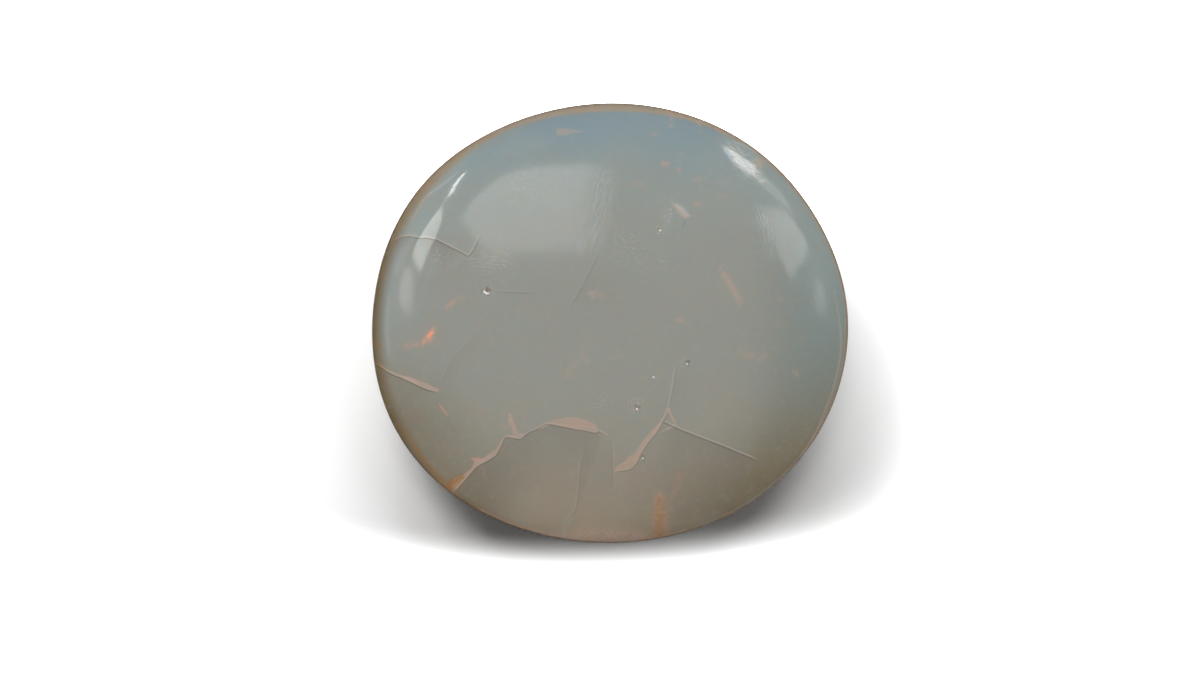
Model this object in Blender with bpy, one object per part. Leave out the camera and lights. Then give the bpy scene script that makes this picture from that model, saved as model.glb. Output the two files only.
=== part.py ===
"""A polished opal palm stone, lying on its back with the domed face up.

It is one natural piece: a rounded, almost circular lens of milky opal. The front is a full
dome with rounded shoulders, the back a shallower belly that ends in a flat face to rest on.
Units are metres, +Z is up, and the origin is under the middle of the stone, on the surface
that it lies on.
"""

import math

import bmesh
import bpy
from mathutils import Vector

# Driving dimensions of the stone: across, front to back, girdle to top, girdle to resting face
WIDTH = 0.0480
LENGTH = 0.0467
DOME_HEIGHT = 0.0090
BELLY_HEIGHT = 0.0068

# How deep the belly would be if it were not flattened to rest on
BELLY_DEPTH = 0.0076

# The dome and the belly follow rho ** PLAN_POWER + z ** RISE_POWER = 1, a full-shouldered ellipse
PLAN_POWER = 2.5
RISE_POWER = 2.0

# Places where the hand-shaped outline is fuller or flatter than an ellipse:
# direction from the middle in degrees, share of the radius, spread in degrees
OUTLINE_BULGES = (
    (214.0, 0.044, 36.0),
    (145.0, 0.026, 26.0),
    (27.0, -0.012, 23.0),
    (318.0, 0.008, 28.0),
)

# The slow waves that polishing by hand leaves on the surface
WAVE_HEIGHT = 0.00006
WAVE_TURNS = 190.0

# Open pits in the polish: distance right of the middle, distance up the face, radius, depth
PITS = (
    (-0.01214, 0.00000, 0.00038, 0.00026),
    (0.00492, 0.00622, 0.00030, 0.00016),
    (0.00265, -0.01220, 0.00038, 0.00022),
    (0.00761, -0.00765, 0.00032, 0.00018),
    (0.00423, -0.00906, 0.00026, 0.00014),
    (0.00322, -0.01676, 0.00028, 0.00016),
)
PIT_NEIGHBOURHOOD = 0.0016
PIT_CUTS = 3

SPHERE_STEPS = 5
ROUND_EDGE_ANGLE = math.radians(20.0)

OPAL_COLOUR = (0.30, 0.33, 0.31, 1.0)
OPAL_ROUGHNESS = 0.08
OPAL_REFRACTION = 1.45


def clear_scene():
    """Removes every object, so that the stone is the only one."""
    for old in list(bpy.data.objects):
        bpy.data.objects.remove(old)


def outline_share(turn):
    """The outline's radius over the plain ellipse's, in a direction given in radians."""
    share = 1.0
    for direction, amount, spread in OUTLINE_BULGES:
        off = math.remainder(turn - math.radians(direction), math.tau)
        share += amount * math.exp(-((off / math.radians(spread)) ** 2))
    return share


def hand_wave(x, y):
    """How far the polished surface stands out of the true lens at a place, in metres."""
    return WAVE_HEIGHT * (
        math.sin(WAVE_TURNS * x + 0.7) * math.cos(0.8 * WAVE_TURNS * y)
        + 0.6 * math.sin(1.7 * WAVE_TURNS * y + 0.5 * WAVE_TURNS * x)
    )


def stone_point(on_sphere):
    """Moves a point of the unit sphere to the stone's surface, with the girdle at z = 0."""
    turn = math.atan2(on_sphere.y, on_sphere.x)
    outward = min(1.0, math.hypot(on_sphere.x, on_sphere.y))
    rho = outward ** (2.0 / PLAN_POWER) * outline_share(turn)
    rise = abs(on_sphere.z) ** (2.0 / RISE_POWER)
    x = rho * math.cos(turn) * WIDTH / 2.0
    y = rho * math.sin(turn) * LENGTH / 2.0
    reach = DOME_HEIGHT if on_sphere.z > 0.0 else -BELLY_DEPTH
    return Vector((x, y, reach * rise + hand_wave(x, y) * on_sphere.z))


def cut_rest_face(stone):
    """Cuts the belly off flat, so that the stone lies still on one real face."""
    cut = bmesh.ops.bisect_plane(
        stone,
        geom=stone.verts[:] + stone.edges[:] + stone.faces[:],
        plane_co=(0.0, 0.0, -BELLY_HEIGHT),
        plane_no=(0.0, 0.0, -1.0),
        clear_outer=True,
    )
    rim = [item for item in cut["geom_cut"] if isinstance(item, bmesh.types.BMEdge)]
    bmesh.ops.edgeloop_fill(stone, edges=rim)


def seat_on_surface(stone):
    """Centres the outline over the origin at its driving size, with the resting face on z = 0."""
    xs = [vert.co.x for vert in stone.verts]
    ys = [vert.co.y for vert in stone.verts]
    middle = Vector(((min(xs) + max(xs)) / 2.0, (min(ys) + max(ys)) / 2.0, -BELLY_HEIGHT))
    bmesh.ops.translate(stone, verts=stone.verts[:], vec=-middle)
    to_size = (WIDTH / (max(xs) - min(xs)), LENGTH / (max(ys) - min(ys)), 1.0)
    bmesh.ops.scale(stone, verts=stone.verts[:], vec=to_size)


def sink_pit(stone, x, y, radius, depth):
    """Presses one shallow round pit into the dome, at a place seen from above."""
    near = [
        face
        for face in stone.faces
        if face.normal.z > 0.0
        and math.hypot(face.calc_center_median().x - x, face.calc_center_median().y - y)
        < PIT_NEIGHBOURHOOD
    ]
    edges = list({edge for face in near for edge in face.edges})
    bmesh.ops.subdivide_edges(stone, edges=edges, cuts=PIT_CUTS, use_grid_fill=True)
    for vert in stone.verts:
        off = math.hypot(vert.co.x - x, vert.co.y - y) / radius
        if off < 1.0 and vert.co.z > BELLY_HEIGHT:
            vert.co.z -= depth * (1.0 - off * off)


def opal_material():
    """Milky grey-blue opal with a high polish."""
    material = bpy.data.materials.new("opal")
    material.use_nodes = True
    shader = material.node_tree.nodes["Principled BSDF"]
    shader.inputs["Base Color"].default_value = OPAL_COLOUR
    shader.inputs["Roughness"].default_value = OPAL_ROUGHNESS
    shader.inputs["Metallic"].default_value = 0.0
    shader.inputs["IOR"].default_value = OPAL_REFRACTION
    return material


def make_opal():
    """The whole stone, as one closed solid."""
    stone = bmesh.new()
    bmesh.ops.create_icosphere(stone, subdivisions=SPHERE_STEPS, radius=1.0)
    for vert in stone.verts:
        vert.co = stone_point(vert.co.normalized())
    cut_rest_face(stone)
    seat_on_surface(stone)
    stone.normal_update()
    for pit in PITS:
        sink_pit(stone, *pit)
    bmesh.ops.triangulate(stone, faces=stone.faces[:])
    bmesh.ops.recalc_face_normals(stone, faces=stone.faces[:])
    mesh = bpy.data.meshes.new("opal")
    stone.to_mesh(mesh)
    stone.free()
    mesh.shade_smooth()
    mesh.set_sharp_from_angle(angle=ROUND_EDGE_ANGLE)
    mesh.materials.append(opal_material())
    opal = bpy.data.objects.new("opal", mesh)
    bpy.context.scene.collection.objects.link(opal)
    return opal


clear_scene()
make_opal()
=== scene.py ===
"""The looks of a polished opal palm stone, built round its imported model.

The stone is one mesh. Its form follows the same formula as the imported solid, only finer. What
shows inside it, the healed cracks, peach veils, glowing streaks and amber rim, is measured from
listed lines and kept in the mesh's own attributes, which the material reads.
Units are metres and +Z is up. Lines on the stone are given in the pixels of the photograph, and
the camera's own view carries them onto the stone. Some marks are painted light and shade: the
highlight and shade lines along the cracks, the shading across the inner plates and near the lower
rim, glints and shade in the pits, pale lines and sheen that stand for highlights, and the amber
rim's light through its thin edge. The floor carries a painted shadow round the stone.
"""

import math
from collections import namedtuple

import bmesh
import bpy
import numpy as np
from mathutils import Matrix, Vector


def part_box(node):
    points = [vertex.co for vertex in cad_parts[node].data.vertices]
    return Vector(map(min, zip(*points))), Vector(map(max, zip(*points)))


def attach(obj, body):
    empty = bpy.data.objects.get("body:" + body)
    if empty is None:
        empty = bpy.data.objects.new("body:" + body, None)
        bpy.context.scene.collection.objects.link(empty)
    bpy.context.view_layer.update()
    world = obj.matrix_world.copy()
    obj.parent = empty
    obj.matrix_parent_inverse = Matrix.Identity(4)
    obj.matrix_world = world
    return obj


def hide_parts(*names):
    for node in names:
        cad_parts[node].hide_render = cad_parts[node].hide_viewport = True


bl_info = {
    "name": "Polished opal stone",
    "version": (1, 0, 0),
    "blender": (4, 5, 0),
    "location": "View3D > Sidebar > Opal",
    "description": "Makes a polished opal palm stone with cracks, veils and pits, and its stage",
    "category": "Object",
}

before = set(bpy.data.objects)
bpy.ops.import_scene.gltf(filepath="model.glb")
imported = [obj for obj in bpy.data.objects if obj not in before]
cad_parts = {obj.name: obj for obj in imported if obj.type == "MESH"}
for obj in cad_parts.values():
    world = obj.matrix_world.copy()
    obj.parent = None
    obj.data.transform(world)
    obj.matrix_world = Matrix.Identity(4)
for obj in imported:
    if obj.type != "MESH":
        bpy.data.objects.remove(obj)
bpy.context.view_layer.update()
STONE_LOW, STONE_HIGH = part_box("opal")

# The form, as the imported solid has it: the girdle's height above the table, and a dome and a
# belly that follow rho ** PLAN_POWER + z ** RISE_POWER = 1
GIRDLE_HEIGHT = 0.0068
DOME_HEIGHT = 0.0090
BELLY_DEPTH = 0.0076
PLAN_POWER = 2.5
RISE_POWER = 2.0

# Where the hand-shaped outline is fuller or flatter than an ellipse:
# direction from the middle in degrees, share of the radius, spread in degrees
OUTLINE_BULGES = (
    (214.0, 0.044, 36.0),
    (145.0, 0.026, 26.0),
    (27.0, -0.012, 23.0),
    (318.0, 0.008, 28.0),
)

# The slow waves that polishing by hand leaves on the surface
WAVE_HEIGHT = 0.00006
WAVE_TURNS = 190.0

# Open pits in the polish: distance right of the middle, distance up the face, radius, depth
PITS = (
    (-0.01214, 0.00000, 0.00038, 0.00026),
    (0.00492, 0.00622, 0.00030, 0.00016),
    (0.00265, -0.01220, 0.00038, 0.00022),
    (0.00761, -0.00765, 0.00032, 0.00018),
    (0.00423, -0.00906, 0.00026, 0.00014),
    (0.00322, -0.01676, 0.00028, 0.00016),
)

# How fine the mesh is: the sphere that it starts from, the distances from a crack or veil, in
# pixels, within which its faces are split once more, and the same from a pit, in metres
SPHERE_STEPS = 7
MARK_REACHES = (9.0, 4.5)
PIT_REACHES = (0.0010, 0.0007, 0.0005)

# How low on the unit sphere faces are split for a mark and for a pit
MARKED_FROM = -0.1
PITTED_FROM = 0.1

# How uneven a pit's edge is, in two and in five lobes, and how steep its walls are
PIT_LOBES = (0.18, 0.14)
PIT_STEEPNESS = 0.8

# How far from a crack and a veil their marks are measured, in pixels, how soon the change of tone
# dies at a crack's end, and a distance that counts as far away from everything
CRACK_REACH = 24.0
VEIL_REACH = 12.0
WIDE_FADE = 25.0
FAR = 1e9

# The marks fade out below the edge that the camera sees, which is higher on the far side
FRONT_SLOPE = 0.054
FRONT_FADE = 0.0011

# Steps of a smooth curve between two of its points, round the seen outline and round the girdle
CURVE_STEPS = 3
OUTLINE_STEPS = 360
GIRDLE_STEPS = 720

# The photograph's frame, and the view that it was taken from
PHOTO_WIDTH = 1200
PHOTO_HEIGHT = 677
VIEW_ELEVATION = math.radians(70.0)
VIEW_DISTANCE = 0.3354
VIEW_TARGET = Vector((0.0, 0.0, 0.008))
LENS = 100.0
SENSOR = 36.0
SHIFT_X = -0.0084
SHIFT_Y = -0.0196

# The outline's middle and half width in the photograph
OUTLINE_MIDDLE = (610.0, 323.0)
OUTLINE_RADIUS = 240.0

# The clear rim: its width and the softness of its inner edge in pixels, and where it is wider,
# softer, shaded or browner: direction in degrees, amount, spread in degrees. The shading and the
# browner umber are painted shade, and the rim's amber is partly painted light that passes through
# its thin edge.
RIM_WIDTH = 2.0
RIM_SOFTNESS = 1.5
RIM_WIDENINGS = ((92.0, 6.2, 26.0), (143.0, 6.4, 22.0), (180.0, 5.0, 30.0), (215.0, 2.2, 16.0),
                 (236.0, 2.0, 10.0), (25.0, 0.8, 40.0), (58.0, 0.6, 20.0))
RIM_SOFTENINGS = ((182.0, 8.0, 34.0), (145.0, 1.0, 20.0), (212.0, 4.0, 24.0))
RIM_SHADES = ((222.0, 0.6, 24.0), (318.0, 0.82, 25.0), (202.0, 0.3, 18.0), (294.0, 0.34, 18.0),
              (233.0, 0.2, 9.0), (251.0, -0.25, 10.0))
RIM_SHADED_UMBERS = ((190.0, 1.1, 44.0), (237.0, 0.25, 11.0))

OPAL_REFRACTION = 1.45

# How far red, green and blue light spread in the milky stone, as shares of the haze depth
HAZE_SPREAD = (1.0, 0.55, 0.35)

# The scales of the patterns in the stone: its clouds, how cracks waver, how uneven glows are, and
# the streaks in the veils, along and across a crack
CLOUD_SCALE = 90.0
WAVER_SCALE = 1100.0
UNEVEN_SCALE = 2400.0
STREAK_SCALES = (0.04, 0.6)

# How far the cracks waver to each side, in pixels
WAVER = 0.8

# The scales of the patterns in the polish: its mottling, grain, chipped pits, rubbed strokes,
# scratches and specks, how long the scratches and rubbed strokes are for their width, and the
# direction of the rubbed strokes in degrees from straight back
MOTTLE_SCALE = 1500.0
GRAIN_SCALE = 2600.0
CHIPPED_SCALE = 5000.0
RUB_SCALE = 5200.0
STROKE_SCALE = 6000.0
SPECK_SCALE = 6000.0
STROKE_LENGTH = 30.0
RUB_LENGTH = 4.0
RUB_ANGLE = 62.0

# How strongly each shows in the colour; the rubbed strokes are painted sheen on the highlights, and the
# hollows are painted shade in the pits
SPECK_STRENGTH = 0.55
STROKE_STRENGTH = 0.12
RUB_SHEEN_STRENGTH = 0.5
MOTTLE_STRENGTH = 0.12
PIT_SHADE_STRENGTH = 0.7

# How deep a scratch is in metres, and how high the rest stand for its depth
SCRATCH_DEPTH = 0.000010
GRAIN_HEIGHT = 0.5
RUB_HEIGHT = 0.9
CHIPPED_HEIGHT = 8.0

# A crack runs with its darker side on its right. Points are in the photograph's pixels.
# light and dark are the strengths of its two thin lines, a painted highlight and a painted shade,
# step is the change of tone across it, partly painted shade on its darker side and painted light
# on the other, reach is how far that change goes in pixels, and fade is how soon the crack dies
# at each end.
Crack = namedtuple("Crack", "points light dark step reach fade")

CRACKS = (
    # From the left rim near the top, to the sharp corner of a paler plate and up its other side
    Crack(((350, 248), (392.6, 240.7), (401, 237), (410, 236), (418, 237.5), (429.4, 238), (439.7, 241.3),
           (449, 246), (460.4, 251.6), (468, 255.8)), 0.6, 0.45, 1.0, 22.0, (0.0, 0.0)),
    Crack(((468, 255.8), (471.5, 252.5), (475.3, 245.3), (481, 235)), 0.5, 0.3, 0.5, 12.0, (0.0, 9.0)),
    # The ledge on the left, and the fine cracks that go on from its end
    Crack(((350, 350), (379, 366), (390, 373), (403, 378.6), (420.6, 386.6), (430, 390.5),
           (438, 392)), 0.4, 0.55, 0.6, 28.0, (0.0, 6.0)),
    Crack(((438, 391), (441, 384), (446, 370.6), (455.7, 354.7), (465, 346), (483, 323)),
          0.04, 0.05, 0.25, 16.0, (4.0, 30.0)),
    Crack(((440, 394), (443.5, 410), (451, 421), (463.7, 448.8)), 0.0, 0.06, 0.15, 14.0, (6.0, 12.0)),
    # From the lower left rim over the junction and the arch
    Crack(((440, 510), (455.7, 490.2), (458.9, 487), (468.5, 475.9), (476.4, 467.1), (487.6, 460.7),
           (495.6, 455.1), (500.4, 447.2), (505, 437.6), (511.5, 437.6), (520.3, 438.9),
           (528.3, 432.8), (537, 428.8), (546.6, 424), (557.8, 425.6), (568.9, 428),
           (583.3, 430.4), (596, 432.8), (599.2, 431.2), (611, 438.5)), 0.3, 0.35, 0.8, 45.0, (0.0, 5.0)),
    Crack(((611, 437), (612.5, 452), (613, 470), (614, 500)), 0.12, 0.1, 0.4, 14.0, (4.0, 24.0)),
    # The long veil on the right of the middle, and the thin line above it
    Crack(((613.3, 471.7), (629.9, 469.2), (636.5, 462.6), (641.5, 452.6), (648, 442.7),
           (656.4, 432.7), (663, 421.1), (668.8, 409.5)), 0.3, 0.2, 0.35, 18.0, (6.0, 6.0)),
    Crack(((668.8, 408), (671.3, 394.6), (673.8, 379.7), (675.5, 371.4), (677.1, 362.2)),
          0.4, 0.1, 0.25, 14.0, (2.0, 10.0)),
    # The straight line that falls to the right
    Crack(((662, 421), (673, 426.1), (686.2, 431.9), (706.1, 439.4), (727.7, 447.7),
           (742.6, 454.3), (760, 461)), 0.6, 0.45, 0.8, 42.0, (3.0, 12.0)),
    # The upright crack under the arch
    Crack(((563, 540), (564.1, 533.3), (565.7, 522.1), (575.3, 509.4), (577.7, 493.4), (579.3, 479.1),
           (580.9, 463.1), (583.5, 450), (583.3, 442.4)), 0.15, 0.08, 0.25, 14.0, (10.0, 24.0)),
    # Fine cracks in the upper half
    Crack(((494, 291), (511, 292), (538, 293)), 0.12, 0.2, 0.12, 10.0, (4.0, 16.0)),
    Crack(((568, 313), (572, 304), (581, 289), (590.5, 270), (599, 253)),
          0.06, 0.18, 0.25, 22.0, (14.0, 12.0)),
    Crack(((686, 219), (684, 226), (681.3, 231)), 0.0, 0.2, 0.1, 8.0, (2.0, 6.0)),
)

# Peach veils, the parts of a crack that lie at a slant and shine through, outlined in pixels
VEILS = (
    # The ledge on the left
    ((350, 348), (379, 363.5), (384, 368), (398.3, 374.6), (411, 377.4), (423.8, 382.4), (433.4, 387),
     (439, 388), (438, 392), (430, 390.5), (420.6, 386.6), (403, 378.8), (390, 373.4), (379, 366.5),
     (350, 352)),
    # The crack above it, only where it meets the rim
    ((350, 246), (392.4, 239.9), (400, 236.1), (410, 235.1), (417, 236.7), (410, 236.9), (401, 238),
     (392.8, 241.5), (350, 250)),
    # Up from the lower left rim, with a tuft
    ((438, 504), (450.9, 483.8), (455.7, 477.5), (463.7, 474.3), (471.6, 467.9), (474, 462),
     (471.6, 458), (482.8, 458.5), (488, 454), (495.6, 449.4), (500, 443), (505, 436), (505, 437.6),
     (500.4, 447.2), (495.6, 455.1), (487.6, 460.7), (476.4, 467.1), (468.5, 475.9), (458.9, 487),
     (452, 496)),
    # The junction and its spur
    ((504.3, 437), (508, 435.2), (513, 434.8), (511.4, 427), (508.8, 419.5), (508.4, 414), (509.6, 410.5),
     (511.4, 415), (513.6, 423), (517, 429.6), (521.5, 433.6), (526, 433.6), (520.3, 438.9),
     (511.5, 437.8)),
    # The arch and its thin tail
    ((528.3, 432.2), (537, 428), (546.6, 423), (554.6, 419.8), (565.7, 417.3), (576.9, 417.5),
     (588.1, 420.6), (595.8, 424.6), (598.6, 430), (596, 432.8), (583.3, 430.4), (568.9, 428),
     (557.8, 425.6), (550, 424.8), (537, 429.4)),
    ((597, 429), (600, 430.4), (609, 437), (608.4, 438), (599.2, 432.2)),
    # The long veil, with the small triangle at its top
    ((613.3, 471.7), (616.6, 466.7), (626.5, 459.3), (635.7, 451.8), (641.5, 442.7), (649.8, 432.7),
     (658, 424.4), (663, 416.1), (666.3, 407.8), (668.8, 407), (672.5, 415), (676.5, 424.8),
     (668.5, 429.5), (658, 433.4), (667, 427.8), (674, 424.2), (670.5, 416.5), (667.6, 411.5),
     (663, 421.1), (656.4, 432.7), (648, 442.7), (641.5, 452.6), (636.5, 462.6), (629.9, 469.2)),
    # The wedge near the top
    ((555.4, 128.3), (557, 135.5), (565.7, 135.3), (573.7, 133), (584.5, 131.6), (577, 130),
     (567.3, 128.6)),
    # The arrow head right of the middle
    ((670.5, 201.5), (676.3, 204), (683.2, 208.4), (687.4, 214.2), (695, 215.5), (688, 216.2),
     (685.6, 219.6), (681.3, 216), (677.6, 211), (673.5, 206)),
)

# Peach threads just inside the rim and at the junction: points in pixels, half width in pixels,
# strength
THREADS = (
    (((430, 193), (422.5, 201.7), (417.9, 209.7), (411, 221)), 1.3, 0.45),
    (((834, 292), (839, 318), (841, 348), (835.5, 381), (827, 406), (815.6, 432.7), (797, 462)), 1.1, 0.4),
    (((672.5, 108), (671.5, 118), (671, 129)), 1.2, 0.45),
    (((699, 116), (698.5, 124), (699, 131)), 1.2, 0.45),
    (((509.6, 418), (507.6, 428)), 0.9, 0.4),
    # Painted light: the bright line along the bottom edge stands in for light through the thin lower rim
    (((479, 509), (508, 522), (534, 530.2), (571.7, 538.6), (610, 541.5), (648, 538.6), (686, 529.7)),
     1.6, 0.45),
)

# Pale lines near the rim, given in the same way, partly painted highlights and painted light
PALE_LINES_AND_HIGHLIGHTS = (
    # Painted highlight along the upper left shoulder
    (((458, 172), (444.3, 183.3), (428, 195)), 1.0, 0.45),
    # Painted highlight just inside the upper right rim
    (((733, 141.5), (746, 146.5), (757, 153)), 1.0, 0.5),
    (((388.5, 296), (386.5, 325), (389, 356)), 2.6, 0.16),
    (((396, 272), (404, 252), (415, 236)), 6.0, 0.2),
    (((563, 542), (566, 527), (572, 517)), 2.2, 0.14),
    (((676.5, 204.5), (688, 216)), 3.4, 0.42),
    (((495, 156), (520, 146), (550, 140)), 8.0, 0.06),
    # Painted sheen beside the left window's reflection
    (((427, 276), (432, 262), (437, 248)), 7.0, 0.09),
    # Painted light along the lower right edge
    (((664, 527), (690, 523), (722, 514)), 8.0, 0.05),
)

# Glowing orange streaks, given in the same way
GLOWS = (
    (((402, 347), (414, 345), (426, 341.5)), 2.6, 0.16),
    (((424, 342.5), (428, 339), (431, 334), (434, 328.5)), 2.3, 0.8),
    (((427.5, 338.5), (430.5, 334), (433, 329.5)), 1.4, 0.9),
    (((431, 332), (438.5, 322.5)), 1.4, 0.35),
    (((445.5, 310), (449.5, 305.5), (453.5, 301)), 2.0, 0.18),
    (((456, 299.6), (465, 298)), 1.6, 0.12),
    (((439.5, 404.5), (447, 415)), 1.5, 0.24),
    (((661, 512), (661.5, 536), (661.5, 565)), 4.4, 0.06),
    (((680, 473), (676.5, 488), (669.5, 501)), 2.8, 0.07),
    (((470, 459), (483, 458)), 2.0, 0.15),
    (((376, 361), (387, 370)), 1.8, 0.2),
)

# Ochre streaks, given in the same way
OCHRES = (
    (((434, 490), (448, 486), (462, 477)), 5.6, 0.68),
    (((402, 427), (416, 448), (432, 469), (452, 490)), 1.4, 0.5),
    (((434, 477), (446, 491), (460, 502)), 4.0, 0.5),
    (((375, 342), (381, 347)), 2.8, 0.3),
    (((372, 292), (371.5, 350), (380, 395)), 1.8, 0.25),
    (((659.5, 498), (659.8, 528), (660, 572)), 7.6, 0.5),
    (((486.5, 286.6), (486.6, 289.4)), 2.0, 0.35),
)

# Peach flecks, given in the same way
FLECKS = (
    (((661, 163.4), (668, 163.8)), 2.4, 0.65),
    (((677.5, 167.5), (681, 172)), 2.1, 0.55),
    (((693, 181), (702.5, 178)), 2.6, 0.3),
    (((717, 183), (730, 181)), 3.4, 0.2),
    (((652.5, 133.8), (657, 134.6)), 2.1, 0.45),
    (((631, 183.5), (644, 184.6)), 2.1, 0.28),
    (((694, 204.6), (701, 204)), 1.9, 0.45),
    (((716, 197), (727, 196)), 3.4, 0.18),
    (((756.5, 159), (760.5, 166)), 4.8, 0.5),
    (((679.6, 151.6), (681.6, 153.6)), 1.5, 0.3),
    (((778, 299), (783, 300)), 2.0, 0.3),
    (((588, 293.5), (595, 293.8), (603, 293.4)), 2.4, 0.6),
    (((675, 319), (684, 320)), 2.2, 0.35),
    (((612, 357), (621, 356)), 2.4, 0.22),
    (((566, 378), (573, 367), (580, 358), (588, 358)), 2.6, 0.25),
    (((582, 351), (587.5, 364)), 2.2, 0.22),
    (((741, 352), (747, 356), (754, 355)), 2.4, 0.35),
    (((756.5, 362.5), (764.5, 354.5)), 2.6, 0.3),
    (((794, 370), (798.5, 376)), 2.4, 0.4),
    (((773, 324), (784, 324)), 3.0, 0.14),
    (((738, 286), (742, 303)), 2.0, 0.18),
    (((720, 269), (731, 286), (741, 303)), 2.9, 0.6),
    # Painted light: the peach band along the bottom edge, and the faint one to its right, stand in for
    # light through the thin lower rim
    (((552, 541), (592, 537), (664, 541)), 10.0, 0.6),
    (((668, 530), (690, 526), (724, 515)), 9.0, 0.04),
    (((659.5, 496), (659.8, 528), (660, 572)), 8.4, 0.55),
)

# Patches of fine specks in the polish: place in pixels, radius in pixels, strength
SPECKLES = (
    (660, 229, 6.0, 0.7), (668, 213, 8.0, 0.7), (648, 212, 5.0, 0.5), (642, 262, 10.0, 0.6),
    (630, 252, 22.0, 0.4), (660, 266, 10.0, 0.35), (634, 404, 9.0, 0.7), (604, 403, 9.0, 0.5),
    (651, 378, 5.0, 0.4), (682, 362, 6.0, 0.5), (438, 257, 10.0, 0.6), (500, 266, 20.0, 0.35),
    (530, 180, 24.0, 0.35), (742, 160, 14.0, 0.4), (486, 291, 7.0, 0.4), (452, 192, 7.0, 0.4),
    (700, 290, 30.0, 0.12),
)

# White chips, partly painted glints, and painted shade in and round the pits, given in the same way
CHIP_GLINTS = (
    (484.6, 291.5, 1.2, 1.0), (486.2, 292.6, 1.1, 1.0), (487.6, 292.9, 1.2, 1.0), (660.0, 229.8, 1.3, 0.5),
    (658.6, 233.4, 1.2, 0.25), (637.0, 408.4, 1.1, 0.9), (638.2, 410.6, 0.9, 0.4), (633.8, 409.6, 0.9, 0.3),
    (653.5, 376.6, 1.2, 0.5), (687.2, 363.3, 1.1, 0.6), (643.0, 457.8, 1.2, 0.5), (604.0, 407.6, 1.0, 0.2),
)
PIT_SHADES = (
    (482.8, 290.2, 1.0, 0.6), (486.4, 290.5, 0.9, 0.5), (487.6, 295.0, 1.2, 0.6), (481.6, 293.4, 0.9, 0.45),
    (480.4, 290.8, 0.8, 0.4), (658.4, 227.6, 1.0, 0.25), (662.2, 229.4, 1.0, 0.3), (636.0, 410.4, 0.9, 0.5),
    (639.8, 407.2, 0.9, 0.4), (639.4, 412.0, 1.0, 0.5), (641.0, 457.0, 1.0, 0.4), (643.6, 461.8, 1.1, 0.3),
)

# Patches of parallel scratches: points of a line along the patch and its half width in pixels, and
# the direction of the scratches in degrees from straight back
Scratches = namedtuple("Scratches", "name points half_width angle")

SCRATCHES = (
    Scratches("scratches_back", ((605, 172), (598, 212), (587, 254)), 13.0, -19.0),
    Scratches("scratches_right", ((758, 208), (767, 232), (772, 256)), 9.0, 0.0),
    Scratches("scratches_left", ((466, 262), (488, 261), (508, 263)), 9.0, 85.0),
    Scratches("scratches_middle", ((672, 200), (664, 226)), 6.0, -18.0),
)

# Patches that are rubbed, which breaks up a reflection: points, half width in pixels, strength.
# The pale strokes that they also put into the colour are painted sheen of the mirrored lamps.
RUBS = (
    (((730, 146), (744, 162), (762, 180)), 9.0, 1.0),
    (((446, 200), (454, 186)), 5.0, 0.2),
)

# The lights that the polish mirrors. The direction is seen from the stone: azimuth from straight
# back towards the right, and elevation. The outline is in tangents from there, right and up.
MirroredLight = namedtuple(
    "MirroredLight", "name azimuth elevation brightness softness outline tint", defaults=((1.0, 1.0, 1.0),)
)

MIRRORED_LIGHTS = (
    MirroredLight("softbox_back", -22.0, 44.1, 2.4, 0.06,
                  ((-0.276, -0.158), (-0.133, -0.253), (-0.017, -0.29), (0.14, -0.19), (0.285, -0.075),
                   (0.199, 0.173), (0.109, 0.402), (-0.056, 0.332), (-0.221, 0.203), (-0.268, 0.073))),
    MirroredLight("window_left", -50.9, 22.2, 5.2, 0.010,
                  ((-0.143, 0.113), (-0.124, -0.054), (-0.094, -0.128), (0.147, -0.074), (0.086, 0.058),
                   (0.039, 0.093), (-0.042, 0.113)), (1.0, 1.0, 0.93)),
    MirroredLight("screen_left", -68.7, 19.4, 2.2, 0.03,
                  ((-0.026, -0.026), (0.024, -0.12), (0.092, -0.17), (0.163, -0.098), (0.138, 0.051),
                   (0.09, 0.122), (0.02, 0.143), (-0.022, 0.098)), (1.0, 0.86, 0.88)),
    MirroredLight("lamp_left", -34.3, 13.1, 10.5, 0.010,
                  ((-0.086, 0.074), (-0.025, -0.030), (0.04, -0.094), (0.074, -0.086), (0.002, 0.006),
                   (-0.060, 0.082))),
    MirroredLight("softbox_right", 49.2, 20.7, 2.5, 0.035,
                  ((-0.151, 0.194), (-0.129, -0.089), (-0.085, -0.204), (0.038, -0.249), (0.094, -0.165),
                   (0.124, 0.065), (0.141, 0.227), (0.113, 0.251), (-0.097, 0.206)), (1.0, 0.90, 0.88)),
    MirroredLight("lamp_right", 28.1, 3.7, 6.4, 0.014,
                  ((-0.113, -0.201), (-0.062, -0.257), (0.096, 0.001), (0.083, 0.135), (0.04, 0.168),
                   (-0.007, 0.17), (-0.047, 0.102), (-0.08, 0.012))),
    MirroredLight("tip_right", 28.1, 3.7, 7.0, 0.012,
                  ((-0.17, -0.225), (-0.133, -0.24), (-0.092, -0.25), (-0.06, -0.238), (-0.053, -0.104),
                   (-0.077, -0.074), (-0.12, -0.149))),
    MirroredLight("tail_right", 38.6, 4.2, 1.2, 0.04,
                  ((-0.095, 0.083), (-0.056, -0.095), (-0.001, -0.25), (0.055, -0.266), (0.108, -0.076),
                   (0.077, 0.095), (0.005, 0.155), (-0.051, 0.164))),
    MirroredLight("screen_right", 67.6, 13.2, 1.2, 0.04,
                  ((-0.104, 0.014), (-0.071, -0.127), (0.007, -0.131), (0.076, -0.047), (0.071, 0.097),
                   (-0.023, 0.14))),
)
LIGHT_DISTANCE = 0.60

# Soft lights that the polish doesn't mirror: azimuth, elevation, and the brightness that each gives
# to a white floor. One set lights the stone alone, and the other lights the floor alone and casts
# the stone's shadow on it.
FillLight = namedtuple("FillLight", "name azimuth elevation brightness")

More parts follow.
